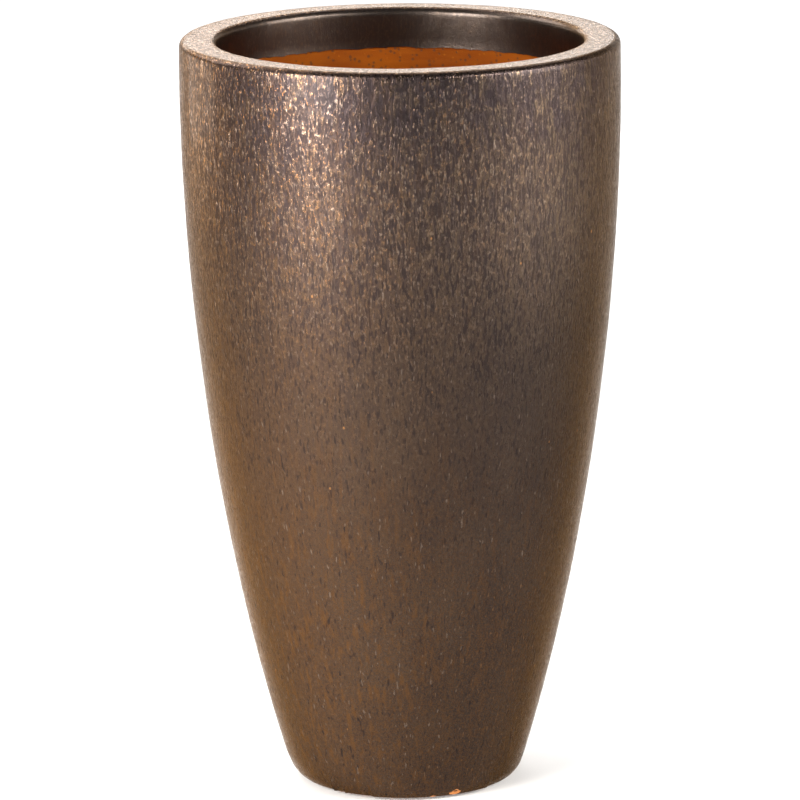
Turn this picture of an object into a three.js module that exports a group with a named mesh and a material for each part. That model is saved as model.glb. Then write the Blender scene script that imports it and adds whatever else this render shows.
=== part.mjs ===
// A tall glazed terracotta planter, in millimetres, +Z up, standing on Z = 0 with its axis on Z.
//
// It is built as the real one is: a clay floor slab with a drain hole, a tall clay wall luted
// onto the slab's edge, one coat of fired glaze over the outside, the rim and a band inside the
// mouth, and a rubber stopper that drops into the drain hole from inside.
import * as THREE from 'three';

// ---- Driving dimensions -------------------------------------------------------------------

const HEIGHT = 700;

// The outside of the finished pot is one smooth curve, given as (radius, height) handles.
const FOOT_RADIUS = 106; // where the wall's line would meet the ground, before the foot is rounded
const HIP = { radius: 172, height: 205 }; // handle that opens the foot into the body
const SHOULDER = { radius: 208, height: 479 }; // handle that turns the body upright
const RIM_RADIUS = 203;

const FOOT_ROUNDING = 16; // radius of the rounded lower edge
const RIM_ROUNDING = 7; // radius of the rim's two rounded edges
const RIM_INNER_RADIUS = 168; // finished radius of the mouth

const GLAZE = 1.2; // thickness of the fired coat
const JOINT_GAP = 0.3; // clearance between touching solids
const GLAZE_FOOT_HEIGHT = 3; // the coat stops this far above the ground
const GLAZE_BAND_DEPTH = 38; // how far the coat goes down inside the mouth

const WALL = 22; // clay thickness of the body, measured level
const WALL_THINS_OVER = 170; // height over which the thicker rim eases into the body

const FLOOR_TOP = 28; // top of the slab, and the bottom of the planting space
const FOOT_RING_INNER_RADIUS = 66;
const RECESS = 3; // depth of the shallow recess inside the foot ring
const RECESS_SLOPE = 3; // level run of the recess's sloping edge
const DRAIN_RADIUS = 16;

const STOPPER_BOTTOM = 12; // height of the stopper's lower end when it is seated
const SHANK_RADIUS = { bottom: 13.5, top: 15.5 };
const SHANK_CHAMFER = 1.5;
const FLANGE = { radius: 24, thickness: 4, rounding: 1.6 };
const GRIP = { neckRadius: 5.5, radius: 9, height: 23 };

// ---- Resolution ---------------------------------------------------------------------------

const POT_SEGMENTS = 60; // facets round the pot, the same on every layer so that they nest
const STOPPER_SEGMENTS = 40;
const WALL_STEPS = 14;
const ARC_STEPS = 4;
const HALVINGS = 40; // steps that find the wall curve's parameter at a height

// ---- Profiles, as THREE.Vector2(radius, height) ---------------------------------------------

const wallCurve = new THREE.CubicBezierCurve(
  new THREE.Vector2(FOOT_RADIUS, 0),
  new THREE.Vector2(HIP.radius, HIP.height),
  new THREE.Vector2(SHOULDER.radius, SHOULDER.height),
  new THREE.Vector2(RIM_RADIUS, HEIGHT),
);

/** The curve's parameter at a height, by halving, since the curve only ever rises. */
function parameterAt(height) {
  let low = 0;
  let high = 1;
  for (let i = 0; i < HALVINGS; i++) {
    const middle = (low + high) / 2;
    if (wallCurve.getPoint(middle).y < height) low = middle;
    else high = middle;
  }
  return (low + high) / 2;
}

/** Finished outside radius at a height, before the foot and rim are rounded. */
const outerRadius = (height) => wallCurve.getPoint(parameterAt(height)).x;

/** Points of an arc about a centre, both ends included. Angles are in radians from +radius. */
function arc(centre, radius, from, to, steps = ARC_STEPS) {
  return Array.from({ length: steps + 1 }, (_, i) => {
    const angle = from + ((to - from) * i) / steps;
    return new THREE.Vector2(Math.cos(angle), Math.sin(angle)).multiplyScalar(radius).add(centre);
  });
}

/** Points of the wall curve between two heights, both ends left out. */
function wallBetween(bottom, top, steps = WALL_STEPS) {
  const [from, to] = [parameterAt(bottom), parameterAt(top)];
  const parameters = Array.from({ length: steps - 1 }, (_, i) => from + ((to - from) * (i + 1)) / steps);
  return parameters.map((parameter) => wallCurve.getPoint(parameter));
}

/** The rounded foot: from the ground to where the arc runs into the wall. */
function footArc() {
  const lean = Math.atan2(HIP.radius - FOOT_RADIUS, HIP.height); // the wall's angle from upright
  const turn = Math.PI / 2 - lean;
  const flat = FOOT_RADIUS - FOOT_ROUNDING * Math.tan(turn / 2);
  return arc(new THREE.Vector2(flat, FOOT_ROUNDING), FOOT_ROUNDING, -Math.PI / 2, -lean, 2 * ARC_STEPS);
}

/** The finished outline from the ground, up the outside, over the rim and down to the band's end. */
function finishedOutline() {
  const foot = footArc();
  const shoulderHeight = HEIGHT - RIM_ROUNDING;
  const outerCentre = new THREE.Vector2(outerRadius(shoulderHeight) - RIM_ROUNDING, shoulderHeight);
  const innerCentre = new THREE.Vector2(RIM_INNER_RADIUS + RIM_ROUNDING, shoulderHeight);
  return [
    ...foot,
    ...wallBetween(foot.at(-1).y, shoulderHeight),
    ...arc(outerCentre, RIM_ROUNDING, 0, Math.PI / 2),
    ...arc(innerCentre, RIM_ROUNDING, Math.PI / 2, Math.PI),
    new THREE.Vector2(RIM_INNER_RADIUS, HEIGHT - GLAZE_BAND_DEPTH),
  ];
}

/** The same outline, sunk into the pot by a depth along each point's normal. */
function sunk(outline, depth) {
  return outline.map((point, i) => {
    const ahead = outline[Math.min(i + 1, outline.length - 1)];
    const behind = outline[Math.max(i - 1, 0)];
    const along = ahead.clone().sub(behind).normalize();
    return new THREE.Vector2(point.x - along.y * depth, point.y + along.x * depth);
  });
}

/** The outline's part above a height on its way up, starting exactly at that height. */
function fromHeight(outline, height) {
  const first = outline.findIndex((point) => point.y > height);
  const [below, above] = [outline[first - 1], outline[first]];
  const start = below.clone().lerp(above, (height - below.y) / (above.y - below.y));
  return [start, ...outline.slice(first)];
}

const closed = (profile) => [...profile, profile[0].clone()];

/** A round solid: a profile in (radius, height), turned about Z. */
function turned(name, profile, segments, material) {
  const geometry = new THREE.LatheGeometry(profile, segments);
  geometry.rotateX(Math.PI / 2);
  const mesh = new THREE.Mesh(geometry, material);
  mesh.name = name;
  return mesh;
}

// ---- Materials ------------------------------------------------------------------------------

const firedClay = new THREE.MeshStandardMaterial({ color: 0xa55a26, roughness: 0.9, metalness: 0 });
const slabClay = new THREE.MeshStandardMaterial({ color: 0x9c5324, roughness: 0.9, metalness: 0 });
const bronzeGlaze = new THREE.MeshStandardMaterial({ color: 0x5a4638, roughness: 0.34, metalness: 0.7 });
const blackRubber = new THREE.MeshStandardMaterial({ color: 0x202022, roughness: 0.75, metalness: 0 });

// ---- Pieces ---------------------------------------------------------------------------------

const outline = finishedOutline();
const clayOutline = sunk(outline, GLAZE + JOINT_GAP);

/** The slab: foot ring, recess, drain hole and the rounded edge that the wall stands on. */
function clayFloor() {
  const rim = clayOutline.findIndex((point) => point.y > FLOOR_TOP);
  const [below, above] = [clayOutline[rim - 1], clayOutline[rim]];
  const topEdge = below.clone().lerp(above, (FLOOR_TOP - below.y) / (above.y - below.y));
  const edge = clayOutline.slice(1, rim).filter((point) => point.y > 0);
  const ringEdge = outline[0].x;
  return turned(
    'clay_floor',
    closed([
      new THREE.Vector2(DRAIN_RADIUS, RECESS),
      new THREE.Vector2(FOOT_RING_INNER_RADIUS - RECESS_SLOPE, RECESS),
      new THREE.Vector2(FOOT_RING_INNER_RADIUS, 0),
      new THREE.Vector2(ringEdge, 0),
      ...edge,
      topEdge,
      new THREE.Vector2(DRAIN_RADIUS, FLOOR_TOP),
    ]),
    POT_SEGMENTS,
    slabClay,
  );
}

/** The wall, from the joint on the slab to the rim, with its mouth thicker than its body. */
function clayWall() {
  const outside = fromHeight(clayOutline, FLOOR_TOP + JOINT_GAP);
  const bandEnd = outside.at(-1);
  const rimWall = outerRadius(bandEnd.y) - bandEnd.x;
  const inside = Array.from({ length: WALL_STEPS }, (_, i) => {
    const height = THREE.MathUtils.lerp(bandEnd.y, FLOOR_TOP + JOINT_GAP, (i + 1) / WALL_STEPS);
    const ease = THREE.MathUtils.smoothstep(height, bandEnd.y - WALL_THINS_OVER, bandEnd.y);
    return new THREE.Vector2(outerRadius(height) - THREE.MathUtils.lerp(WALL, rimWall, ease), height);
  });
  return turned('clay_wall', closed([...outside, ...inside]), POT_SEGMENTS, firedClay);
}

/** The coat of glaze: the finished outline and the same line one coat deeper. */
function glazeCoat() {
  const face = fromHeight(outline, GLAZE_FOOT_HEIGHT);
  const back = fromHeight(sunk(outline, GLAZE), GLAZE_FOOT_HEIGHT).reverse();
  return turned('glaze_coat', closed([...face, ...back]), POT_SEGMENTS, bronzeGlaze);
}

/** The rubber stopper: tapered shank, flange that seats on the slab, and a rounded grip. */
function drainStopper() {
  const seat = FLOOR_TOP + JOINT_GAP;
  const flangeTop = seat + FLANGE.thickness;
  const flangeCentre = new THREE.Vector2(FLANGE.radius - FLANGE.rounding, flangeTop - FLANGE.rounding);
  const gripCentre = new THREE.Vector2(0, flangeTop + GRIP.height - GRIP.radius);
  const neckAngle = Math.acos(GRIP.neckRadius / GRIP.radius);
  return turned(
    'drain_stopper',
    [
      new THREE.Vector2(0, STOPPER_BOTTOM),
      new THREE.Vector2(SHANK_RADIUS.bottom - SHANK_CHAMFER, STOPPER_BOTTOM),
      new THREE.Vector2(SHANK_RADIUS.bottom, STOPPER_BOTTOM + SHANK_CHAMFER),
      new THREE.Vector2(SHANK_RADIUS.top, seat),
      new THREE.Vector2(FLANGE.radius, seat),
      ...arc(flangeCentre, FLANGE.rounding, 0, Math.PI / 2),
      new THREE.Vector2(GRIP.neckRadius, flangeTop),
      ...arc(gripCentre, GRIP.radius, -neckAngle, Math.PI / 2, 2 * ARC_STEPS).slice(0, -1),
      new THREE.Vector2(0, gripCentre.y + GRIP.radius),
    ],
    STOPPER_SEGMENTS,
    blackRubber,
  );
}

const planter = new THREE.Group();
planter.add(clayFloor(), clayWall(), glazeCoat(), drainStopper());

export default planter;
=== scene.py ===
"""A tall glazed terracotta planter: its visual model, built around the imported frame.

Everything is in metres, +Z up, with the pot's axis on Z and its foot on Z = 0. The shapes are
turned from the outlines of the frame's own solids, at a finer step, and then worked as the
potter's hands and the kiln leave them.
"""

import functools
import logging
import math
from dataclasses import dataclass, field
from enum import Enum
from typing import Any, Iterable, Sequence

import bpy
import numpy as np
from mathutils import Matrix, Vector


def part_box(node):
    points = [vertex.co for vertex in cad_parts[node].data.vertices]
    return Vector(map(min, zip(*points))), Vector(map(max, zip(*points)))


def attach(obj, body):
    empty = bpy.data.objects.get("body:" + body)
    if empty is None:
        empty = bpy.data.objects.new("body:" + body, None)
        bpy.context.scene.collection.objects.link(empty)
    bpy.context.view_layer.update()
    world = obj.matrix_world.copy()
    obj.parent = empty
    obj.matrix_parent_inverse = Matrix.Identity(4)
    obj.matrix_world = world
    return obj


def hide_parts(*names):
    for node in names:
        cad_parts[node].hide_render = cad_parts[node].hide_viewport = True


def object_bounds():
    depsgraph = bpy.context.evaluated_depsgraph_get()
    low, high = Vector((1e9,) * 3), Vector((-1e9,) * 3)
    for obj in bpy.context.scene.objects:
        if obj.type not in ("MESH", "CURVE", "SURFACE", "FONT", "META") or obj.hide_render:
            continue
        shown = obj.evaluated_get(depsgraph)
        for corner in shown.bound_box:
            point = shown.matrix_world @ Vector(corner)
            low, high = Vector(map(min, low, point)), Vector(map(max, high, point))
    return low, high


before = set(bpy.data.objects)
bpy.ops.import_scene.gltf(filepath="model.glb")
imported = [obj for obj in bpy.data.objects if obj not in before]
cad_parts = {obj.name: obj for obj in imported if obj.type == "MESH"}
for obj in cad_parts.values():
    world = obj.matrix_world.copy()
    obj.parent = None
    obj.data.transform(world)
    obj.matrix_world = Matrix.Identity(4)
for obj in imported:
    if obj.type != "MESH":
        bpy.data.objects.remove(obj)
CAD_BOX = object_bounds()
HEIGHT = CAD_BOX[1][2] - CAD_BOX[0][2]

MM = 0.001

Point = tuple[float, float]  # (radius, height)
Colour = tuple[float, float, float]
log = logging.getLogger("planter")


# ---- Shader maths ---------------------------------------------------------------------------


class Signal:
    """An output socket on a board, on which arithmetic adds Math nodes."""

    def __init__(self, board: "Board", socket: bpy.types.NodeSocket) -> None:
        """Keep the socket and the board that it stands on.

        Args:
            board: the node tree's wrapper.
            socket: the output that carries the value.
        """
        self.board = board
        self.socket = socket

    def _math(self, operation: str, *operands: "Signal | float") -> "Signal":
        """One Math node on the operands, in their order.

        Args:
            operation: the node's operation.
            operands: up to three values or signals.

        Returns:
            The node's result.
        """
        node = self.board.add("ShaderNodeMath", {"operation": operation}, dict(enumerate(operands)))
        return self.board.out(node, "Value")

    def __add__(self, other: "Signal | float") -> "Signal":
        """The sum."""
        return self._math("ADD", self, other)

    def __radd__(self, other: float) -> "Signal":
        """The sum, with the number first."""
        return self._math("ADD", other, self)

    def __sub__(self, other: "Signal | float") -> "Signal":
        """The difference."""
        return self._math("SUBTRACT", self, other)

    def __rsub__(self, other: float) -> "Signal":
        """The difference, with the number first."""
        return self._math("SUBTRACT", other, self)

    def __mul__(self, other: "Signal | float") -> "Signal":
        """The product."""
        return self._math("MULTIPLY", self, other)

    def __rmul__(self, other: float) -> "Signal":
        """The product, with the number first."""
        return self._math("MULTIPLY", other, self)

    def larger(self, other: "Signal | float") -> "Signal":
        """The larger of the two."""
        return self._math("MAXIMUM", self, other)

    def step(self, low: float, high: float) -> "Signal":
        """A smooth step from 0 at low to 1 at high, or down from 1 where low is above high.

        Args:
            low: the value that gives 0.
            high: the value that gives 1.

        Returns:
            The eased value, held between 0 and 1.
        """
        settings = {"interpolation_type": "SMOOTHSTEP"}
        if low < high:
            limits = {"Value": self, "From Min": low, "From Max": high}
            return self.board.out(self.board.add("ShaderNodeMapRange", settings, limits), "Result")
        limits = {"Value": self, "From Min": high, "From Max": low, "To Min": 1.0, "To Max": 0.0}
        return self.board.out(self.board.add("ShaderNodeMapRange", settings, limits), "Result")


class Board:
    """A node tree, filled by one method that adds any node."""

    def __init__(self, tree: bpy.types.NodeTree) -> None:
        """Empty the tree and keep it.

        Args:
            tree: a material's or a world's node tree.
        """
        tree.nodes.clear()
        self.tree = tree

    @staticmethod
    def _find(sockets: Any, key: str | int) -> bpy.types.NodeSocket:
        """The socket with that number, identifier or name."""
        if isinstance(key, int):
            return sockets[key]
        named = [s for s in sockets if s.identifier == key] or [s for s in sockets if s.name == key]
        return named[0]

    def add(self, kind: str, settings: dict[str, Any], values: dict[Any, Any]) -> bpy.types.Node:
        """Add one node, set it, and feed its inputs.

        Args:
            kind: the node's type.
            settings: its own settings, set first; "stops" are a colour ramp's stops.
            values: a number, colour or signal for each named input.

        Returns:
            The node.
        """
        node = self.tree.nodes.new(kind)
        for name, value in settings.items():
            if name == "stops":
                self._stops(node.color_ramp, value)
            else:
                setattr(node, name, value)
        for key, value in values.items():
            socket = self._find(node.inputs, key)
            if isinstance(value, Signal):
                self.tree.links.new(value.socket, socket)
            else:
                socket.default_value = value
        return node

    @staticmethod
    def _stops(ramp: bpy.types.ColorRamp, stops: Sequence[tuple[float, Colour]]) -> None:
        """Give a colour ramp its stops, from left to right."""
        while len(ramp.elements) < len(stops):
            ramp.elements.new(1.0)
        for element, (place, colour) in zip(ramp.elements, stops):
            element.position = place
            element.color = (*colour, 1.0)

    def out(self, node: bpy.types.Node, name: str) -> Signal:
        """One of a node's outputs, as a signal."""
        return Signal(self, self._find(node.outputs, name))

    def place(self) -> Signal:
        """The surface's own place, in metres, in the planter's frame."""
        return self.out(self.add("ShaderNodeTexCoord", {}, {}), "Object")

    def axis(self, vector: Signal, name: str) -> Signal:
        """One of a vector's X, Y and Z."""
        return self.out(self.add("ShaderNodeSeparateXYZ", {}, {"Vector": vector}), name)

    def stretched(self, place: Signal, scale: tuple[float, float, float], shift: float = 0.0) -> Signal:
        """A place scaled by axis and then moved.

        Args:
            place: the place on the surface.
            scale: the scale along X, Y and Z.
            shift: how far it is moved on every axis, so that two patterns differ.

        Returns:
            The new place.
        """
        values = {"Vector": place, "Location": (shift, shift, shift), "Scale": scale}
        return self.out(self.add("ShaderNodeMapping", {}, values), "Vector")

    def noise(self, place: Signal, scale: float, detail: float = 2.0, roughness: float = 0.5) -> Signal:
        """Soft noise between 0 and 1, with features about 1 / scale across."""
        values = {"Vector": place, "Scale": scale, "Detail": detail, "Roughness": roughness}
        return self.out(self.add("ShaderNodeTexNoise", {}, values), "Fac")

    def reach(self, place: Signal, centre: Sequence[float], size: Sequence[float]) -> Signal:
        """How far a place is from a centre, where 1 is the edge of an ellipsoid.

        Args:
            place: the place on the surface.
            centre: the ellipsoid's centre.
            size: half its extent along X, Y and Z.

        Returns:
            The distance, in the ellipsoid's own half-sizes.
        """
        off = self.add("ShaderNodeVectorMath", {"operation": "SUBTRACT"}, {0: place, 1: centre})
        share = {0: self.out(off, "Vector"), 1: size}
        scaled = self.add("ShaderNodeVectorMath", {"operation": "DIVIDE"}, share)
        far = self.add("ShaderNodeVectorMath", {"operation": "LENGTH"}, {0: self.out(scaled, "Vector")})
        return self.out(far, "Value")

    def cells(self, place: Signal, scale: float) -> tuple[Signal, Signal]:
        """Scattered points: the distance to the nearest, in cells, and that point's own number."""
        node = self.add("ShaderNodeTexVoronoi", {}, {"Vector": place, "Scale": scale})
        own = self.axis(self.out(node, "Color"), "X")
        return self.out(node, "Distance"), own

    def mix(self, share: Signal | float, first: Signal | Colour, second: Signal | Colour) -> Signal:
        """A colour between two others.

        Args:
            share: 0 for the first colour and 1 for the second.
            first: the first colour.
            second: the second colour.

        Returns:
            The mixed colour.
        """
        colours = {"A_Color": first, "B_Color": second}
        filled = {k: v if isinstance(v, Signal) else (*v, 1.0) for k, v in colours.items()}
        node = self.add("ShaderNodeMix", {"data_type": "RGBA"}, {"Factor_Float": share, **filled})
        return self.out(node, "Result_Color")

    def bump(
        self, height: Signal, distance: float, strength: float, normal: Signal | None = None
    ) -> Signal:
        """A normal tilted by a height.

        Args:
            height: the height, 0 to 1.
            distance: what 1 stands for, in metres.
            strength: the share of the tilt that is kept.
            normal: the normal that this one adds to.

        Returns:
            The tilted normal.
        """
        values = {"Height": height, "Distance": distance, "Strength": strength}
        if normal:
            values["Normal"] = normal
        return self.out(self.add("ShaderNodeBump", {}, values), "Normal")

    def principled(self, values: dict[str, Any]) -> Signal:
        """The surface shader, with its inputs fed."""
        return self.out(self.add("ShaderNodeBsdfPrincipled", {}, values), "BSDF")

    def surface(self, shader: Signal) -> None:
        """Send a shader to the material's output."""
        self.add("ShaderNodeOutputMaterial", {}, {"Surface": shader})


class Finish:
    """A material, made once from the nodes that its own build method adds."""

    name: str

    def build(self, board: Board) -> None:
        """Add the finish's nodes to the board."""
        raise NotImplementedError

    def dress(self, piece: bpy.types.Object) -> None:
        """Give a piece this finish alone.

        Args:
            piece: the piece to dress.
        """
        material = bpy.data.materials.new(f"{self.name}_finish")
        material.use_nodes = True
        self.build(Board(material.node_tree))
        piece.data.materials.clear()
        piece.data.materials.append(material)


# ---- Finishes -------------------------------------------------------------------------------


@dataclass(frozen=True)
class Chip:
    """A spot at the foot where the glaze has come away from the clay."""

    angle: float  # degrees round from the front, towards +X
    height: float
    width: float
    rise: float  # how tall the spot is
    depth: float = 0.8 * MM
    radius: float = 105.5 * MM  # of the foot's rounded edge, where the spot is

    def centre(self) -> Vector:
        """The spot's middle."""
        turned = math.radians(self.angle)
        return Vector((self.radius * math.sin(turned), -self.radius * math.cos(turned), self.height))

    def size(self) -> Vector:
        """Half the spot's extent, towards the axis, across and up."""
        return Vector((self.width / 2, self.width / 2, self.rise / 2))


@dataclass(frozen=True)
class Marks:
    """Where the coat's small marks are."""

    dark: Signal  # dashes and runs
    flecks: Signal
    amber: Signal
    pits: Signal


@dataclass(frozen=True)
class Lie:
    """How the coat lies on the pot: the soft patterns that its colour, gloss and relief share."""

    board: Board
    place: Signal
    height: Signal
    side: Signal
    drift: Signal  # the slowest clouds
    veil: Signal
    patch: Signal
    grain: Signal
    mottle: Signal
    top: Signal  # 1 at the top of the pot
    low: Signal  # 1 at its foot
    # cool-coloured clouds, with painted shade folded in towards the right (+X) side
    cool: Signal
    bright: Signal
    dust: Signal  # the finest grain
    within: Signal  # 1 on the band inside the mouth
    calm: Signal  # less than 1 there, because the band is poured and lies smoother

    @classmethod
    def on(cls, board: Board) -> "Lie":
        """Lay the patterns on a board.

        Args:
            board: the node tree's wrapper.

        Returns:
            The patterns.
        """
        place = board.place()
        height = board.axis(place, "Z")
        side = board.axis(place, "X")
        drift = board.noise(board.stretched(place, (1.0, 1.0, 0.5)), 6.0, 2.0)
        veil = board.noise(board.stretched(place, (1.0, 1.0, 0.6), 3.1), 24.0, 3.0)
        top = height.step(0.40 * HEIGHT, 0.96 * HEIGHT)
        grain = board.noise(board.stretched(place, (1.0, 1.0, 0.48), 5.2), 520.0, 3.0, 0.62)
        streak = board.noise(board.stretched(place, (1.0, 1.0, 0.14), 1.3), 340.0, 2.0, 0.55)
        across = board.reach(place, (0.0, 0.0, 0.0), (1.0, 1.0, 1e6))
        upper = height.step(0.5 * HEIGHT, 0.6 * HEIGHT)
        within = across.step(172 * MM, 169.5 * MM) * upper
        return cls(
            board=board,
            place=place,
            height=height,
            side=side,
            drift=drift,
            veil=veil,
            patch=board.noise(board.stretched(place, (1.0, 1.0, 0.7), 4.4), 75.0, 3.0, 0.6),
            grain=grain,
            mottle=(0.6 * grain + 0.4 * streak).step(0.40, 0.60),
            top=top,
            low=height.step(0.60 * HEIGHT, 0.20 * HEIGHT),
            # Cool clouds plus painted shade: the mask grows strongly towards the right (+X) side.
            cool=(0.5 * drift + 0.4 * veil + 1.6 * side).step(0.30, 0.80),
            bright=(grain + 0.04 * top).step(0.57, 0.67),
            dust=board.noise(board.stretched(place, (1.0, 1.0, 0.6), 6.6), 1100.0, 2.0, 0.6),
            within=within,
            calm=1.0 - 0.9 * within,
        )


@dataclass(frozen=True)
class BronzeGlaze(Finish):
    """The fired coat: dark metallic bronze, mottled with fine streaks that run down the pot."""

    name: str = "bronze_glaze"
    bronze: Colour = (0.105, 0.068, 0.045)
    rust: Colour = (0.118, 0.061, 0.029)
    umber: Colour = (0.043, 0.030, 0.0245)
    olive: Colour = (0.100, 0.074, 0.050)
    slate: Colour = (0.040, 0.031, 0.034)
    ink: Colour = (0.026, 0.019, 0.020)
    # painted shade on the lower body, stronger towards the right (+X) side
    shadow: Colour = (0.006, 0.004, 0.004)
    pale: Colour = (0.40, 0.31, 0.25)
    amber: Colour = (0.42, 0.20, 0.075)
    amber_dark: Colour = (0.180, 0.080, 0.024)
    # painted shade: the glaze inside the mouth gets its own greyer colour
    mouth_shade: Colour = (0.067, 0.054, 0.046)  # inside the mouth
    edge: Colour = (0.68, 0.54, 0.43)  # the tint that the reflection takes at a glancing angle
    chips: tuple[Chip, ...] = ()
    broken: "FiredClay" = field(
        default_factory=lambda: FiredClay(
            body=(0.62, 0.25, 0.085), pale=(0.70, 0.36, 0.16), burnt=(0.50, 0.18, 0.05)
        )
    )

    def build(self, board: Board) -> None:
        """Lay the clouds of colour, then the marks, tones and painted shade, over a fine relief.

        Args:
            board: the node tree's wrapper.
        """
        lie = Lie.on(board)
        marks = self._marks(lie)
        polish = (0.17 * (1.0 - lie.mottle) - 0.12 * lie.bright) * lie.calm
        rough = 0.19 + polish + 0.08 * marks.dark + 0.15 * (lie.dust - 0.5) + 0.14 * lie.within
        coat = board.principled({
            "Base Color": self._toned(lie, marks, self._clouds(lie)),
            "Metallic": 1.0,
            "Roughness": rough,
            "Specular Tint": (*self.edge, 1.0),
            "Coat Weight": 0.12 + 0.3 * (lie.grain - 0.5),
            "Coat Roughness": 0.14,
            "Coat IOR": 1.5,
            "Normal": self._relief(lie, marks),
        })
        values = {0: self._bare(board, lie.place), 1: coat, 2: self.broken.shader(board)}
        board.surface(board.out(board.add("ShaderNodeMixShader", {}, values), "Shader"))

    def _clouds(self, lie: Lie) -> Signal:
        """The ground colour: warm and cool clouds, then the mottle and its pale grain.

        Args:
            lie: the patterns that the coat shares.

        Returns:
            The colour.
        """
        board = lie.board
        warm = (0.8 * lie.drift + 0.3 * lie.veil - 1.4 * lie.side).step(0.30, 0.85)
        swayed = lie.height + 0.16 * HEIGHT * (lie.veil - 0.5)
        collar = swayed.step(0.86 * HEIGHT, 0.96 * HEIGHT)
        ground = board.mix(0.9 * (warm * (1.0 - 0.7 * lie.top)), self.bronze, self.rust)
        # Painted shade: umber darkens the cool clouds and the right (+X) side, less at the top.
        ground = board.mix(0.85 * lie.cool * (1.0 - 0.75 * lie.top), ground, self.umber)
        ground = board.mix(0.7 * lie.cool * lie.top, ground, self.olive)
        ground = board.mix(0.75 * collar * lie.patch.step(0.38, 0.56), ground, self.slate)

        depth = 0.30 + 0.50 * lie.top * (1.0 - 0.6 * lie.cool) + 0.5 * (lie.veil - 0.5)
        ground = board.mix(depth * (1.0 - lie.mottle), ground, self.slate)
        tone = board.noise(board.stretched(lie.place, (1.0, 1.0, 0.5), 2.9), 260.0, 1.0)
        light = board.mix(tone.step(0.46, 0.58) * (1.0 - 0.8 * lie.cool), self.pale, self.amber)
        # Pale and amber grains, partly real and partly a painted highlight: more towards the top, fewer
        # towards the right (+X) side.
        pale_grain_and_glint = (0.08 + 0.34 * lie.top) * (1.0 - 0.75 * lie.cool) * lie.bright
        ground = board.mix(pale_grain_and_glint, ground, light)
        speckle = board.noise(lie.place, 760.0, 1.0)
        return board.mix(0.40 * lie.low * speckle.step(0.46, 0.60), ground, self.amber_dark)

    def _marks(self, lie: Lie) -> Marks:
        """Scatter the dark dashes and runs, the pale flecks, and the amber spots and pinholes.

        Args:
            lie: the patterns that the coat shares.

        Returns:
            The marks, each 1 where it is and 0 elsewhere.
        """
        board = lie.board
        crowd = 0.13 * lie.top - 0.05 * lie.low + 0.12 * (lie.veil - 0.5) + 0.07 * (lie.drift - 0.5)
        thin = board.noise(board.stretched(lie.place, (1.0, 1.0, 0.26), 9.1), 400.0, 1.0, 0.45)
        streaks = (thin + crowd).step(0.60, 0.66)
        run = board.noise(board.stretched(lie.place, (1.0, 1.0, 0.13), 7.7), 230.0, 1.0, 0.4)
        runs = (run + 0.10 * (lie.veil - 0.5) + 0.035 * lie.low).step(0.745, 0.775)
        spark = board.noise(board.stretched(lie.place, (1.0, 1.0, 0.22), 1.9), 430.0, 1.0, 0.5)
        spot, own = board.cells(board.stretched(lie.place, (1.0, 1.0, 0.7), 0.4), 75.0)
        return Marks(
            dark=((0.75 + 0.25 * lie.top) * streaks).larger(runs) * lie.calm,
            flecks=(spark + 0.03 * lie.low).step(0.72, 0.77) * lie.calm,
            amber=spot.step(0.10, 0.05) * own.step(0.88, 0.92),
            pits=spot.step(0.11, 0.04) * own.step(0.10, 0.06),
        )

    def _toned(self, lie: Lie, marks: Marks, ground: Signal) -> Signal:
        """Colour the marks, run the warm wash over them, and paint shade: on the lower body, more
        towards the right (+X) side, inside the mouth, and in blotches on the right of the rim.

        Args:
            lie: the patterns that the coat shares.
            marks: where each mark is.
            ground: the colour under them.

        Returns:
            The finished colour.
        """
        board = lie.board
        ground = board.mix(0.72 * marks.dark, ground, self.ink)
        tint = board.mix((lie.cool * lie.low).step(0.45, 0.75), self.pale, self.amber)
        ground = board.mix(0.34 * marks.flecks, ground, tint)
        ground = board.mix(0.8 * marks.amber, ground, self.amber)
        wash = board.noise(board.stretched(lie.place, (1.0, 1.0, 0.11), 8.3), 190.0, 3.0, 0.6)
        tinted = (wash + 0.25 * (lie.veil - 0.5)).step(0.50, 0.68) * (1.0 - 0.8 * lie.cool)
        ground = board.mix((0.08 + 0.60 * lie.low) * tinted, ground, self.amber_dark)

        # Painted shade: the body darkens below 0.88 of its height, more towards the right (+X) side.
        shade = lie.height.step(0.88 * HEIGHT, 0.60 * HEIGHT)
        ground = board.mix(shade * (0.43 + 1.2 * lie.side), ground, self.shadow)
        # Painted shade inside the mouth: the band there takes its own greyer colour.
        ground = board.mix(0.8 * lie.within, ground, self.mouth_shade)
        # Umber blotches on the rim's top, partly random and partly painted shade on its right (+X) side.
        lid = lie.height.step(0.9925 * HEIGHT, 0.9985 * HEIGHT)
        blotched_and_shaded = lid * (0.9 * lie.patch + 0.5 * lie.veil + 1.2 * lie.side).step(0.62, 0.95)
        return board.mix(0.5 * blotched_and_shaded, ground, self.umber)

    def _relief(self, lie: Lie, marks: Marks) -> Signal:
        """The coat's fine facets and its slow swell.

        Args:
            lie: the patterns that the coat shares.
            marks: where each mark is.

        Returns:
            The tilted normal.
        """
        board = lie.board
        fine = board.bump(lie.dust, 0.25 * MM, 0.5)
        facets = lie.grain * (0.8 + 0.9 * lie.top) * lie.calm
        worked = facets + 0.5 * marks.flecks - 0.5 * marks.dark - marks.pits
        relief = board.bump(worked, 0.45 * MM, 0.6, fine)
        swell = board.noise(board.stretched(lie.place, (1.0, 1.0, 0.5), 2.3), 110.0, 2.0)
        return board.bump(swell, 1.0 * MM, 0.30, relief)

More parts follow.
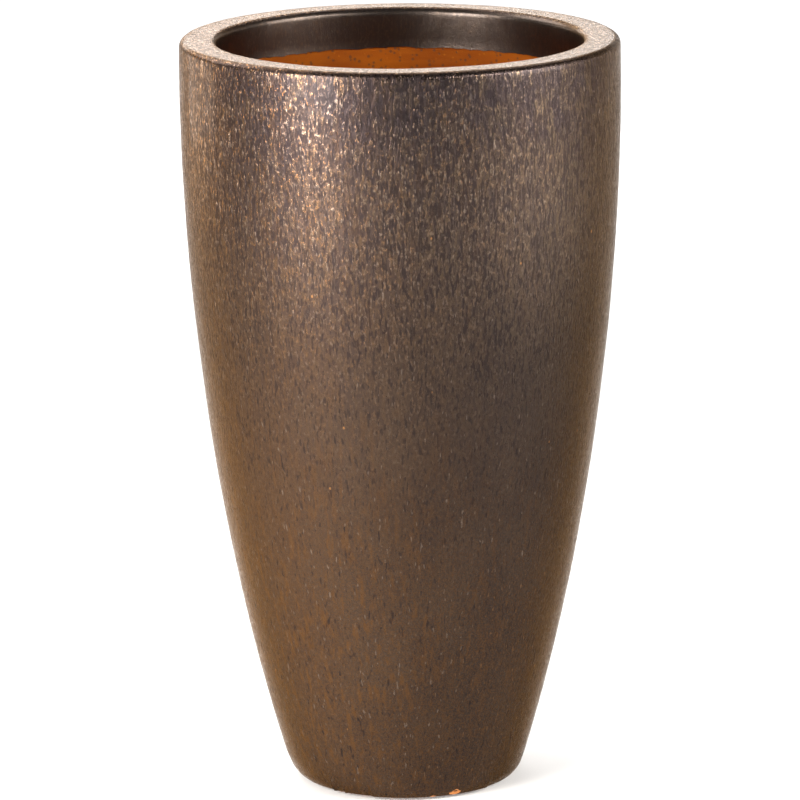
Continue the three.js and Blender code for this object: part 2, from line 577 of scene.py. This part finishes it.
    def _bare(self, board: Board, place: Signal) -> Signal:
        """Where the chips show the clay.

        Args:
            board: the node tree's wrapper.
            place: the place on the surface.

        Returns:
            1 in a chip and 0 elsewhere.
        """
        ragged = 0.5 * (board.noise(place, 420.0, 2.0) - 0.5)
        spots = []
        for chip in self.chips:
            reach = board.reach(place, chip.centre(), chip.size())
            spots.append((reach + ragged).step(1.05, 0.85))
        return functools.reduce(Signal.larger, spots)


@dataclass(frozen=True)
class FiredClay(Finish):
    """Bare low-fired clay: saturated orange-brown, matt, with grog and dark specks."""

    name: str = "fired_clay"
    body: Colour = (0.260, 0.062, 0.001)
    pale: Colour = (0.320, 0.096, 0.003)
    burnt: Colour = (0.195, 0.041, 0.001)
    speck: Colour = (0.09, 0.035, 0.014)
    dry: Colour = (0.52, 0.23, 0.095)
    fumed: bool = False  # whether the glaze's vapour has darkened the clay next to it
    stained: bool = False  # whether the outer edge of the foot carries a wash of glaze

    def build(self, board: Board) -> None:
        """Dress the surface in clay alone."""
        board.surface(self.shader(board))

    def shader(self, board: Board) -> Signal:
        """Mix the clay's clouds, draw the turning lines and scatter the grog and specks.

        Args:
            board: the node tree's wrapper.

        Returns:
            The clay's shader.
        """
        place = board.place()
        height = board.axis(place, "Z")
        cloud = board.noise(place, 14.0, 4.0)
        turning = board.noise(board.stretched(place, (0.15, 0.15, 1.0)), 150.0, 2.0)
        colour = board.mix(cloud.step(0.35, 0.70), self.body, self.burnt)
        colour = board.mix(0.20 * turning.step(0.45, 0.75), colour, self.pale)
        if self.fumed:
            deep = (height + 0.06 * HEIGHT * (cloud - 0.5)).step(0.86 * HEIGHT, 0.66 * HEIGHT)
            colour = board.mix(0.9 * deep, colour, self.dry)

        spot, own = board.cells(place, 240.0)
        specks = spot.step(0.42, 0.28) * own.step(0.58, 0.68)
        grog = spot.step(0.30, 0.18) * own.step(0.22, 0.12)
        colour = board.mix(0.75 * specks, colour, self.speck)
        colour = board.mix(0.5 * grog, colour, self.pale)

        grain = board.noise(place, 1100.0, 3.0, 0.65)
        if self.stained:
            worn = board.noise(place, 90.0, 2.0)
            across = board.reach(place, (0.0, 0.0, 0.0), (1.0, 1.0, 1e6))
            outer = across.step(82 * MM, 86 * MM) * height.step(20 * MM, 14 * MM)
            wash = (height + 0.5 * MM * worn).step(0.4 * MM, 0.9 * MM) * worn.step(0.66, 0.58)
            colour = board.mix(0.85 * wash * outer, colour, self.speck)
        fine = board.bump(grain, 0.3 * MM, 0.6)
        relief = board.bump(turning * 0.7 + grog * 0.3 - specks * 0.3, 0.6 * MM, 0.5, fine)
        return board.principled({
            "Base Color": colour,
            "Roughness": 0.86 + 0.14 * (grain - 0.5),
            "Specular IOR Level": 0.15,
            "Normal": relief,
        })


@dataclass(frozen=True)
class StopperRubber(Finish):
    """Matt black moulded rubber, dusted where hands and soil touch it."""

    name: str = "stopper_rubber"
    black: Colour = (0.022, 0.021, 0.020)
    dust: Colour = (0.16, 0.10, 0.06)

    def build(self, board: Board) -> None:
        """Lay clay dust over black rubber with a fine moulded grain.

        Args:
            board: the node tree's wrapper.
        """
        place = board.place()
        cloud = board.noise(place, 160.0, 3.0)
        grain = board.noise(place, 2600.0, 2.0)
        colour = board.mix(0.35 * cloud.step(0.48, 0.75), self.black, self.dust)
        board.surface(board.principled({
            "Base Color": colour,
            "Roughness": 0.62 + 0.25 * (cloud - 0.5),
            "Normal": board.bump(grain, 0.12 * MM, 0.5),
        }))


@dataclass(frozen=True)
class FloorPaper(Finish):
    """The pale seamless floor that the planter stands on."""

    name: str = "floor_paper"
    white: Colour = (0.66, 0.66, 0.655)
    dim: Colour = (0.22, 0.22, 0.22)  # what the paper gives off near the planter
    lit: Colour = (0.85, 0.85, 0.85)  # what it gives off far away, where it is lit apart

    def build(self, board: Board) -> None:
        """A matt white with the faintest fibre in it, and a painted glow: dim near the planter, bright
        behind it and far away.

        Args:
            board: the node tree's wrapper.
        """
        place = board.place()
        fibre = board.noise(place, 300.0, 2.0)
        # Painted light: a glowing pool on the floor behind the planter, and a glow far away.
        behind = board.reach(place, (0.0, 4.4, 0.0), (1.9, 2.6, 1.0)).step(1.0, 0.45)
        far = board.reach(place, (0.0, 0.0, 0.0), (1.0, 1.0, 1.0)).step(3.2, 4.4)
        board.surface(board.principled({
            "Base Color": board.mix(fibre, self.white, tuple(0.985 * c for c in self.white)),
            "Roughness": 0.9,
            "Emission Color": board.mix(behind.larger(far), self.dim, self.lit),
            "Emission Strength": 1.0,
        }))


# ---- Outlines -------------------------------------------------------------------------------


@dataclass
class Outline:
    """A line of (radius, height) points that a piece is turned from."""

    points: list[Point]
    closed: bool

    ON_AXIS = 1e-6
    CORNER = math.radians(32.0)  # a sharper turn than this is a corner and stays one
    SHORT = 8 * MM  # a shorter stretch than this is part of an arc
    REACH = 1.5  # how far a handle may reach, in lengths of the stretch next to it

    @classmethod
    def of_node(cls, node: str) -> "Outline":
        """Read a node's outline from the solid's vertices in one half-plane through the axis.

        Args:
            node: the CAD node's name.

        Returns:
            Its outline, closed if it doesn't end on the axis.
        """
        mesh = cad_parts[node].data
        links: dict[Point, set[Point]] = {}
        for triangle in mesh.polygons:
            places = [mesh.vertices[i].co for i in triangle.vertices]
            cut = {
                (round(-p.y, 5), round(p.z, 5))
                for p in places
                if abs(p.x) < cls.ON_AXIS and p.y < cls.ON_AXIS
            }
            for point in cut:
                links.setdefault(point, set()).update(cut - {point})
        ends = [p for p, near in links.items() if len(near) == 1]
        here = ends[0] if ends else max(links)
        path = [here]
        while True:
            onward = [p for p in sorted(links[here]) if p not in path]
            if not onward:
                return cls(path, closed=not ends)
            here = onward[0]
            path.append(here)

    def _turn(self, i: int) -> float:
        """How far the line turns at a point."""
        here = Vector(self.points[i])
        back = here - Vector(self.points[i - 1])
        ahead = Vector(self.points[(i + 1) % len(self.points)]) - here
        return back.angle(ahead)

    def runs(self) -> list["Outline"]:
        """The smooth runs between the line's corners, in order, each with both of its ends."""
        count = len(self.points)
        if not self.closed:
            inner = [i for i in range(1, count - 1) if self._turn(i) > self.CORNER]
            stops = [0, *inner, count - 1]
            return [Outline(self.points[a : b + 1], False) for a, b in zip(stops, stops[1:])]
        corners = [i for i in range(count) if self._turn(i) > self.CORNER]
        doubled = self.points * 2
        spans = zip(corners, [*corners[1:], corners[0] + count])
        return [Outline(doubled[a : b + 1], False) for a, b in spans]

    def length(self) -> float:
        """The line's length."""
        return sum(math.dist(a, b) for a, b in zip(self.points, self.points[1:]))

    def refined(self, step: float, round_step: float) -> "Outline":
        """The same run with more points, as one smooth curve through the ones that it has.

        Args:
            step: the longest step on long stretches.
            round_step: the longest step on the short stretches that make an arc.

        Returns:
            The finer run.
        """
        places = [Vector(p) for p in self.points]
        chords = [b - a for a, b in zip(places, places[1:])]
        spans = [c.length for c in chords]
        units = [c.normalized() for c in chords]
        tangents = [units[0], *[(a + b).normalized() for a, b in zip(units, units[1:])], units[-1]]
        points = [self.points[0]]
        for i, span in enumerate(spans):
            before = spans[i - 1] if i else span
            after = spans[i + 1] if i + 1 < len(spans) else span
            first = places[i] + tangents[i] * min(span, self.REACH * before) / 3
            second = places[i + 1] - tangents[i + 1] * min(span, self.REACH * after) / 3
            count = math.ceil(span / (round_step if span < self.SHORT else step))
            for k in range(1, count + 1):
                t = k / count
                s = 1 - t
                spot = places[i] * s**3 + first * 3 * s * s * t
                spot = spot + second * 3 * s * t * t + places[i + 1] * t**3
                points.append((spot.x, spot.y))
        return Outline(points, False)


def joined(runs: Iterable[Outline], closed: bool) -> Outline:
    """Runs end to end as one line, with each shared point kept once.

    Args:
        runs: the runs, in order.
        closed: whether the last run ends where the first one starts.

    Returns:
        The whole line.
    """
    points: list[Point] = []
    for run in runs:
        points.extend(run.points[:-1])
        last = run.points[-1]
    if not closed:
        points.append(last)
    return Outline(points, closed)


# ---- Mesh work ------------------------------------------------------------------------------


class Along(Enum):
    """The way that a relief moves the surface."""

    NORMAL = "NORMAL"
    HEIGHT = "Z"


def only(piece: bpy.types.Object) -> None:
    """Select one object, make it active and leave everything else unselected."""
    bpy.ops.object.select_all(action="DESELECT")
    piece.select_set(True)
    bpy.context.view_layer.objects.active = piece


def turn(name: str, outline: Outline, steps: int, weights: dict[str, list[float]]) -> bpy.types.Object:
    """Draw an outline as a wire and spin it round the pot's axis into a closed solid.

    Args:
        name: the piece's name.
        outline: the line to turn.
        steps: how many steps make the full circle.
        weights: vertex groups, with a weight for each of the outline's points.

    Returns:
        The piece, at the origin, with its faces outwards.
    """
    bpy.ops.object.select_all(action="DESELECT")
    radius, height = outline.points[0]
    bpy.ops.mesh.primitive_plane_add(size=MM, location=(0, 0, 0))
    piece = bpy.context.active_object
    piece.name = name
    piece.data.name = name
    bpy.ops.object.mode_set(mode="EDIT")
    bpy.ops.mesh.select_all(action="SELECT")
    bpy.ops.mesh.merge(type="CENTER")
    bpy.ops.transform.translate(value=(0, -radius, height))
    rest = [*outline.points[1:], outline.points[0]] if outline.closed else outline.points[1:]
    here = (radius, height)
    for there in rest:
        step = (0, here[0] - there[0], there[1] - here[1])
        bpy.ops.mesh.extrude_region_move(TRANSFORM_OT_translate={"value": step})
        here = there
    bpy.ops.object.mode_set(mode="OBJECT")
    for group, values in weights.items():
        layer = piece.vertex_groups.new(name=group)
        looped = [*values, values[0]] if outline.closed else values
        for i, weight in enumerate(looped):
            layer.add([i], weight, "REPLACE")
    bpy.ops.object.mode_set(mode="EDIT")
    bpy.ops.mesh.select_all(action="SELECT")
    bpy.ops.mesh.remove_doubles(threshold=0.01 * MM)
    bpy.ops.mesh.spin(steps=steps, angle=math.tau, center=(0, 0, 0), axis=(0, 0, 1))
    bpy.ops.mesh.select_all(action="SELECT")
    bpy.ops.mesh.remove_doubles(threshold=0.01 * MM)
    bpy.ops.mesh.normals_make_consistent(inside=False)
    bpy.ops.object.mode_set(mode="OBJECT")
    bpy.ops.object.shade_smooth_by_angle(angle=Outline.CORNER)
    return piece


def relieve(
    piece: bpy.types.Object,
    grain: float,
    strength: float,
    middle: float,
    group: str,
    along: Along = Along.NORMAL,
) -> None:
    """Give part of a piece a soft uneven relief.

    Args:
        piece: the piece.
        grain: the size of the relief's features.
        strength: the relief from its lowest to its highest.
        middle: the share of the relief that lies below the surface, 1 for all of it.
        group: the vertex group that says where.
        along: the way that the surface moves.
    """
    texture = bpy.data.textures.new(f"{piece.name}_relief", "CLOUDS")
    texture.noise_scale = grain
    texture.noise_depth = 2
    only(piece)
    modifier = piece.modifiers.new("relief", "DISPLACE")
    modifier.texture = texture
    modifier.texture_coords = "LOCAL"
    modifier.strength = strength
    modifier.mid_level = middle
    modifier.direction = along.value
    modifier.vertex_group = group
    bpy.ops.object.modifier_apply(modifier=modifier.name)


def soften(piece: bpy.types.Object, width: float) -> None:
    """Round a piece's sharp edges over by a small bevel.

    Args:
        piece: the piece.
        width: the bevel's width.
    """
    only(piece)
    modifier = piece.modifiers.new("soften", "BEVEL")
    modifier.width = width
    modifier.segments = 2
    modifier.limit_method = "ANGLE"
    modifier.angle_limit = Outline.CORNER
    bpy.ops.object.modifier_apply(modifier=modifier.name)


def settle(piece: bpy.types.Object, move: Any) -> None:
    """Move a piece's vertices by a rule on their own places.

    Args:
        piece: the piece.
        move: takes the places, one row each, and returns the moved ones.
    """
    count = len(piece.data.vertices)
    places = np.empty(count * 3)
    piece.data.vertices.foreach_get("co", places)
    moved = move(places.reshape(count, 3))
    piece.data.vertices.foreach_set("co", moved.ravel())
    piece.data.update()


def ease(value: np.ndarray, low: float, high: float) -> np.ndarray:
    """A smooth step from 0 at low to 1 at high, or down where low is above high."""
    share = np.clip((value - low) / (high - low), 0.0, 1.0)
    return share * share * (3.0 - 2.0 * share)


def report(piece: bpy.types.Object) -> None:
    """Log a finished piece with its size and count of faces."""
    size = ", ".join(f"{1000 * d:.1f}" for d in piece.dimensions)
    log.info("%s: %d faces, %s mm", piece.name, len(piece.data.polygons), size)


# ---- The pot --------------------------------------------------------------------------------


@dataclass(frozen=True)
class Flat:
    """A stretch of the foot's edge that was pressed in when the wet pot was lifted or trimmed."""

    start: float  # degrees round from the front, towards +X
    end: float
    depth: float
    lead: float = 1.2  # degrees over which the start eases in
    trail: float = 1.2  # degrees over which the end eases out

    def share(self, angle: np.ndarray) -> np.ndarray:
        """How much of the flat's depth each place takes.

        Args:
            angle: the places' angles, in degrees round from the front.

        Returns:
            1 within the flat, easing to 0 at its ends.
        """
        along = np.sign(self.end - self.start) * (angle - self.start)
        length = abs(self.end - self.start)
        return ease(along, 0.0, self.lead) * ease(along, length, length - self.trail)


@dataclass
class Foot:
    """The uneven lower edge, which the glaze and the clay behind it share."""

    flats: tuple[Flat, ...] = (
        Flat(46.0, 100.0, 1.7 * MM, trail=42.0),
        Flat(-17.5, -33.0, 2.0 * MM),
        Flat(-33.0, -40.0, 2.8 * MM),
        Flat(-40.0, -110.0, 3.2 * MM, trail=45.0),
        Flat(160.0, 128.0, 1.8 * MM, trail=6.0),
        Flat(-128.0, -166.0, 1.6 * MM, trail=6.0),
    )
    chips: tuple[Chip, ...] = (
        Chip(25.2, 5.4 * MM, 12.5 * MM, 5.0 * MM),
        Chip(25.6, 8.0 * MM, 6.0 * MM, 5.0 * MM),
        Chip(13.8, 3.3 * MM, 7.0 * MM, 2.0 * MM),
        Chip(-118.0, 6.0 * MM, 8.0 * MM, 4.5 * MM),
    )
    fades_over: float = 26.0 * MM
    full_below: float = 4.0 * MM  # under this height a flat has its whole depth
    inner: float = 55.0 * MM  # within this radius nothing moves
    outer: float = 80.0 * MM

    def press(self, places: np.ndarray) -> np.ndarray:
        """Press the flats into the lower edge.

        Args:
            places: vertex places, one row each.

        Returns:
            The moved places.
        """
        angle = np.degrees(np.arctan2(places[:, 0], -places[:, 1]))
        radius = np.hypot(places[:, 0], places[:, 1])
        low = ease(places[:, 2], self.fades_over, self.full_below)
        where = low * ease(radius, self.inner, self.outer)
        depth = np.max([flat.depth * flat.share(angle) for flat in self.flats], axis=0)
        moved = places.copy()
        moved[:, :2] *= (1.0 - depth * where / np.maximum(radius, MM))[:, None]
        return moved


@dataclass
class Pot:
    """The fired pot: its coat of glaze, its clay wall and the clay slab at its foot."""

    foot: Foot = field(default_factory=Foot)
    body: str = "pot"
    steps: int = 360
    wall_step: float = 4.3 * MM
    arc_step: float = 1.1 * MM
    hidden_step: float = 30 * MM
    hidden_arc_step: float = 3 * MM
    wobble: float = 0.75 * MM  # how uneven a hand-built wall is under the glaze
    ripple: float = 0.22 * MM
    scallop: float = 5.0 * MM  # how uneven the glaze's edge is inside the mouth
    band_height: float = 22 * MM  # how far above its edge the band in the mouth is still uneven
    band_reach: float = 4 * MM  # how far out from the mouth's radius the band's points lie
    edge_fade: float = 4.0 * MM
    wall_steps: tuple[float, float] = (6 * MM, 2 * MM)  # along the clay wall, and on its arcs
    slab_steps: tuple[float, float] = (5 * MM, 1.2 * MM)
    slab_edge: float = 0.6 * MM
    lining: tuple[float, float] = (0.05, 0.93)  # the bare inside, in shares of the height
    throwing: float = 1.2 * MM  # how uneven the bare clay is
    drag: float = 0.3 * MM

    def _edge_weights(self, run: Outline) -> list[float]:
        """Weights along a run that are 1 but ease to 0 at both of its ends."""
        travelled = np.cumsum([0.0, *(math.dist(a, b) for a, b in zip(run.points, run.points[1:]))])
        away = np.minimum(travelled, travelled[-1] - travelled)
        return list(ease(away, 0.0, self.edge_fade))

    def glaze(self) -> bpy.types.Object:
        """The coat of glaze, uneven as a poured and fired coat is.

        Returns:
            The coat, as one closed shell over the outside, the rim and the band in the mouth.
        """
        runs = Outline.of_node("glaze_coat").runs()
        face = max(runs, key=lambda run: max(run.points))
        back = max((run for run in runs if run is not face), key=Outline.length)
        fine = []
        shares: list[float] = []
        for run in runs:
            visible = run is face
            step = self.hidden_step if run is back else self.wall_step
            round_step = self.hidden_arc_step if run is back else self.arc_step
            finer = run.refined(step, round_step)
            fine.append(finer)
            shares.extend(self._edge_weights(finer)[:-1] if visible else [0.0] * (len(finer.points) - 1))
        outline = joined(fine, closed=True)
        mouth = min(r for r, z in face.points if z > 0.5 * HEIGHT)
        band_end = min(z for r, z in face.points if r < mouth + MM and z > 0.5 * HEIGHT)
        band_top = band_end + self.band_height
        inner = mouth + self.band_reach
        band = [
            float(ease(np.array(z), band_top, band_end)) if r < inner and z > 0.5 * HEIGHT else 0.0
            for r, z in outline.points
        ]
        piece = turn("glaze_skin", outline, self.steps, {"face": shares, "band": band})
        relieve(piece, 90 * MM, self.wobble, 1.0, "face")
        relieve(piece, 13 * MM, self.ripple, 1.0, "face")
        relieve(piece, 34 * MM, self.scallop, 0.5, "band", Along.HEIGHT)
        relieve(piece, 9 * MM, 0.5 * self.scallop, 0.5, "band", Along.HEIGHT)
        settle(piece, self.foot.press)
        settle(piece, self._pit)
        BronzeGlaze(chips=self.foot.chips).dress(piece)
        return self._placed(piece, "glaze_coat")

    def _pit(self, places: np.ndarray) -> np.ndarray:
        """Sink the chips into the outer face of the coat.

        Args:
            places: vertex places, one row each.

        Returns:
            The moved places.
        """
        moved = places.copy()
        radius = np.hypot(places[:, 0], places[:, 1])
        for chip in self.foot.chips:
            reach = np.linalg.norm((places - chip.centre()) / chip.size(), axis=1)
            moved[:, :2] *= (1.0 - chip.depth * ease(reach, 1.2, 0.7) / np.maximum(radius, MM))[:, None]
        return moved

    def wall(self) -> bpy.types.Object:
        """The clay wall, smooth behind the glaze and with turning lines inside.

        Returns:
            The wall.
        """
        runs = [run.refined(*self.wall_steps) for run in Outline.of_node("clay_wall").runs()]
        outline = joined(runs, closed=True)
        widest = max(outline.points)[0]
        bottom, top = (share * HEIGHT for share in self.lining)
        lining = []
        for i, (r, z) in enumerate(outline.points):
            ahead = outline.points[(i + 1) % len(outline.points)]
            inside = ahead[1] < z and r < 0.95 * widest
            lining.append(1.0 if inside and bottom < z < top else 0.0)
        piece = turn("clay_wall_skin", outline, self.steps, {"lining": lining})
        relieve(piece, 60 * MM, self.throwing, 0.5, "lining")
        relieve(piece, 8 * MM, self.drag, 0.5, "lining")
        settle(piece, self.foot.press)
        FiredClay(fumed=True).dress(piece)
        return self._placed(piece, "clay_wall")

    def slab(self) -> bpy.types.Object:
        """The clay slab: foot ring, recess, drain hole and the rounded edge of the foot.

        Returns:
            The slab.
        """
        runs = [run.refined(*self.slab_steps) for run in Outline.of_node("clay_floor").runs()]
        outline = joined(runs, closed=True)
        piece = turn("clay_foot", outline, self.steps, {})
        soften(piece, self.slab_edge)
        settle(piece, self.foot.press)
        FiredClay(name="fired_clay_foot", body=FiredClay.dry, stained=True).dress(piece)
        return self._placed(piece, "clay_floor")

    def _placed(self, piece: bpy.types.Object, node: str) -> bpy.types.Object:
        """Stand a piece in for its CAD node, on the pot.

        Args:
            piece: the finished piece.
            node: the node that it stands for.

        Returns:
            The piece.
        """
        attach(piece, self.body)
        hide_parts(node)
        return piece

    def build(self) -> list[bpy.types.Object]:
        """Make the pot's pieces.

        Returns:
            The pieces, from the outside in.
        """
        return [self.glaze(), self.wall(), self.slab()]


@dataclass
class DrainStopper:
    """The rubber stopper, with sealing grooves round its shank and a moulding seam."""

    body: str = "stopper"
    steps: int = 120
    groove_depth: float = 0.45 * MM
    grooves: int = 4
    seam: float = 0.18 * MM
    seam_starts: tuple[float, float] = (2 * MM, 4 * MM)  # the radii over which the seam rises
    outline_steps: tuple[float, float] = (0.7 * MM, 0.5 * MM)
    edge: float = 0.35 * MM

    def _grooved(self, run: Outline) -> Outline:
        """Cut rounded grooves along the shank's run.

        Args:
            run: the shank's outline.

        Returns:
            The grooved outline.
        """
        lowest = min(z for _, z in run.points)
        highest = max(z for _, z in run.points)
        points = []
        for r, z in run.points:
            share = (z - lowest) / (highest - lowest)
            wave = 0.5 - 0.5 * math.cos(math.tau * self.grooves * share)
            points.append((r - self.groove_depth * wave, z))
        return Outline(points, False)

    def _seamed(self, places: np.ndarray) -> np.ndarray:
        """Raise the seam where the mould's two halves met, in the plane of X and Z.

        Args:
            places: vertex places, one row each.

        Returns:
            The moved places.
        """
        radius = np.hypot(places[:, 0], places[:, 1])
        off = np.abs(places[:, 1]) / np.maximum(radius, MM)
        on_seam = off < 0.3 * math.tau / self.steps
        raised = self.seam * on_seam * ease(radius, *self.seam_starts)
        moved = places.copy()
        moved[:, :2] *= (1.0 + raised / np.maximum(radius, MM))[:, None]
        return moved

    def build(self) -> list[bpy.types.Object]:
        """Make the stopper.

        Returns:
            The one piece, in a list.
        """
        runs = [run.refined(*self.outline_steps) for run in Outline.of_node("drain_stopper").runs()]
        low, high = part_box("drain_stopper")
        shank = max(
            (run for run in runs if max(z for _, z in run.points) < (low.z + high.z) / 2),
            key=lambda run: abs(run.points[-1][1] - run.points[0][1]),
        )
        outline = joined([self._grooved(run) if run is shank else run for run in runs], closed=False)
        piece = turn("rubber_stopper", outline, self.steps, {})
        soften(piece, self.edge)
        settle(piece, self._seamed)
        StopperRubber().dress(piece)
        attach(piece, self.body)
        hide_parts("drain_stopper")
        return [piece]


# ---- The studio -----------------------------------------------------------------------------


@dataclass(frozen=True)
class Softbox:
    """A soft rectangular light that faces the pot."""

    name: str
    azimuth: float  # degrees round from the front, towards +X
    elevation: float  # degrees above level, seen from the aim
    distance: float
    width: float
    tall: float
    glow: float  # its brightness, where 1 is white paper in full light
    colour: Colour = (1.0, 1.0, 1.0)
    aim_height: float = 0.75  # share of the pot's height that it points at

    def place(self) -> None:
        """Add the light to the scene."""
        aim = Vector((0, 0, self.aim_height * HEIGHT))
        round_z = Matrix.Rotation(math.radians(self.azimuth), 3, "Z")
        tilt = Matrix.Rotation(math.radians(self.elevation), 3, "X").inverted()
        towards = round_z @ tilt @ Vector((0, -1, 0))
        bpy.ops.object.light_add(type="AREA", location=aim + self.distance * towards)
        lamp = bpy.context.active_object
        lamp.name = self.name
        lamp.rotation_euler = towards.to_track_quat("Z", "Y").to_euler()
        lamp.data.shape = "RECTANGLE"
        lamp.data.size = self.width
        lamp.data.size_y = self.tall
        lamp.data.energy = self.glow * math.pi * self.width * self.tall
        lamp.data.color = self.colour
        lamp.visible_camera = False


@dataclass
class Studio:
    """A pale floor, soft lights and a long lens on a stand."""

    floor_radius: float = 60.0
    lights: tuple[Softbox, ...] = (
        Softbox("key", -45.0, 15.0, 2.6, 1.15, 2.0, 23.0, (1.0, 0.96, 0.91)),
        Softbox("right_fill", 74.0, 15.0, 2.9, 1.7, 1.8, 10.5, (1.0, 0.95, 0.89)),
        Softbox("right_high", 58.0, 28.0, 2.9, 2.2, 0.5, 14.0, (1.0, 0.96, 0.92)),
        Softbox("left_rim", -125.0, 0.0, 3.0, 1.6, 1.0, 4.5, (1.0, 0.97, 0.94)),
        Softbox("left_sweep", -125.0, 52.0, 1.9, 1.0, 0.8, 7.5, (1.0, 0.97, 0.94), 0.0),
        Softbox("right_rim", 135.0, 6.0, 3.2, 0.6, 2.2, 0.4, (1.0, 0.88, 0.76)),
        Softbox("back_panel", -170.0, 15.0, 4.2, 2.5, 0.7, 7.0),
        Softbox("back_sweep", 180.0, 50.0, 3.6, 3.0, 1.6, 4.0),
    )
    stand_distance: float = 7.5  # in pot heights, level from the pot's axis
    stand_height: float = 2.227
    stand_side: float = -0.004
    pitch: float = 12.888  # degrees down
    roll: float = -0.51
    lens: float = 260.4
    film: float = 36.0
    sky: tuple[Colour, ...] = ((1.0, 1.0, 1.0), (0.42, 0.41, 0.40), (0.13, 0.13, 0.135))

    def floor(self) -> None:
        """Lay the floor, far wider than the view."""
        bpy.ops.object.select_all(action="DESELECT")
        bpy.ops.mesh.primitive_circle_add(vertices=96, radius=self.floor_radius, fill_type="NGON")
        paper = bpy.context.active_object
        paper.name = "floor"
        bpy.ops.object.mode_set(mode="EDIT")
        bpy.ops.mesh.select_all(action="SELECT")
        bpy.ops.mesh.inset(thickness=0.5 * self.floor_radius)
        bpy.ops.object.mode_set(mode="OBJECT")
        FloorPaper().dress(paper)

    def world(self) -> None:
        """Surround the studio with walls that are bright behind the pot and dark overhead."""
        world = bpy.data.worlds.new("studio")
        bpy.context.scene.world = world
        world.use_nodes = True
        board = Board(world.node_tree)
        towards = board.out(board.add("ShaderNodeTexCoord", {}, {}), "Generated")
        up = board.axis(towards, "Z")
        back = board.axis(towards, "Y")
        bright, dim, dark = self.sky
        around = board.mix(back.step(-0.6, 0.4), dim, bright)
        high = up + 0.25 * (1.0 - back)
        colour = board.mix(high.step(0.25, 0.33), around, dark)
        sky = board.add("ShaderNodeBackground", {}, {"Color": colour, "Strength": 1.0})
        board.add("ShaderNodeOutputWorld", {}, {"Surface": board.out(sky, "Background")})

    def camera(self) -> None:
        """Stand the camera in front of the pot, looking down at it through a long lens."""
        bpy.ops.object.camera_add()
        camera = bpy.context.active_object
        camera.name = "camera"
        camera.data.lens = self.lens
        camera.data.sensor_width = self.film
        camera.data.clip_end = 200.0
        spot = Vector((self.stand_side, -self.stand_distance, self.stand_height)) * HEIGHT
        turned = Matrix.Rotation(math.radians(90.0 - self.pitch), 4, "X")
        rolled = Matrix.Rotation(math.radians(self.roll), 4, "Z")
        camera.matrix_world = Matrix.Translation(spot) @ turned @ rolled
        bpy.context.scene.camera = camera

    def build(self) -> None:
        """Set up the camera, the floor, the walls and the lights."""
        self.camera()
        self.floor()
        self.world()
        for light in self.lights:
            light.place()
        bpy.context.scene.view_settings.view_transform = "Standard"


def main() -> None:
    """Build the studio and the planter, and report each piece."""
    logging.basicConfig(level=logging.INFO, format="%(name)s %(relativeCreated)d ms: %(message)s")
    Studio().build()
    for assembly in (Pot(), DrainStopper()):
        for piece in assembly.build():
            report(piece)


if __name__ == "__main__":
    main()
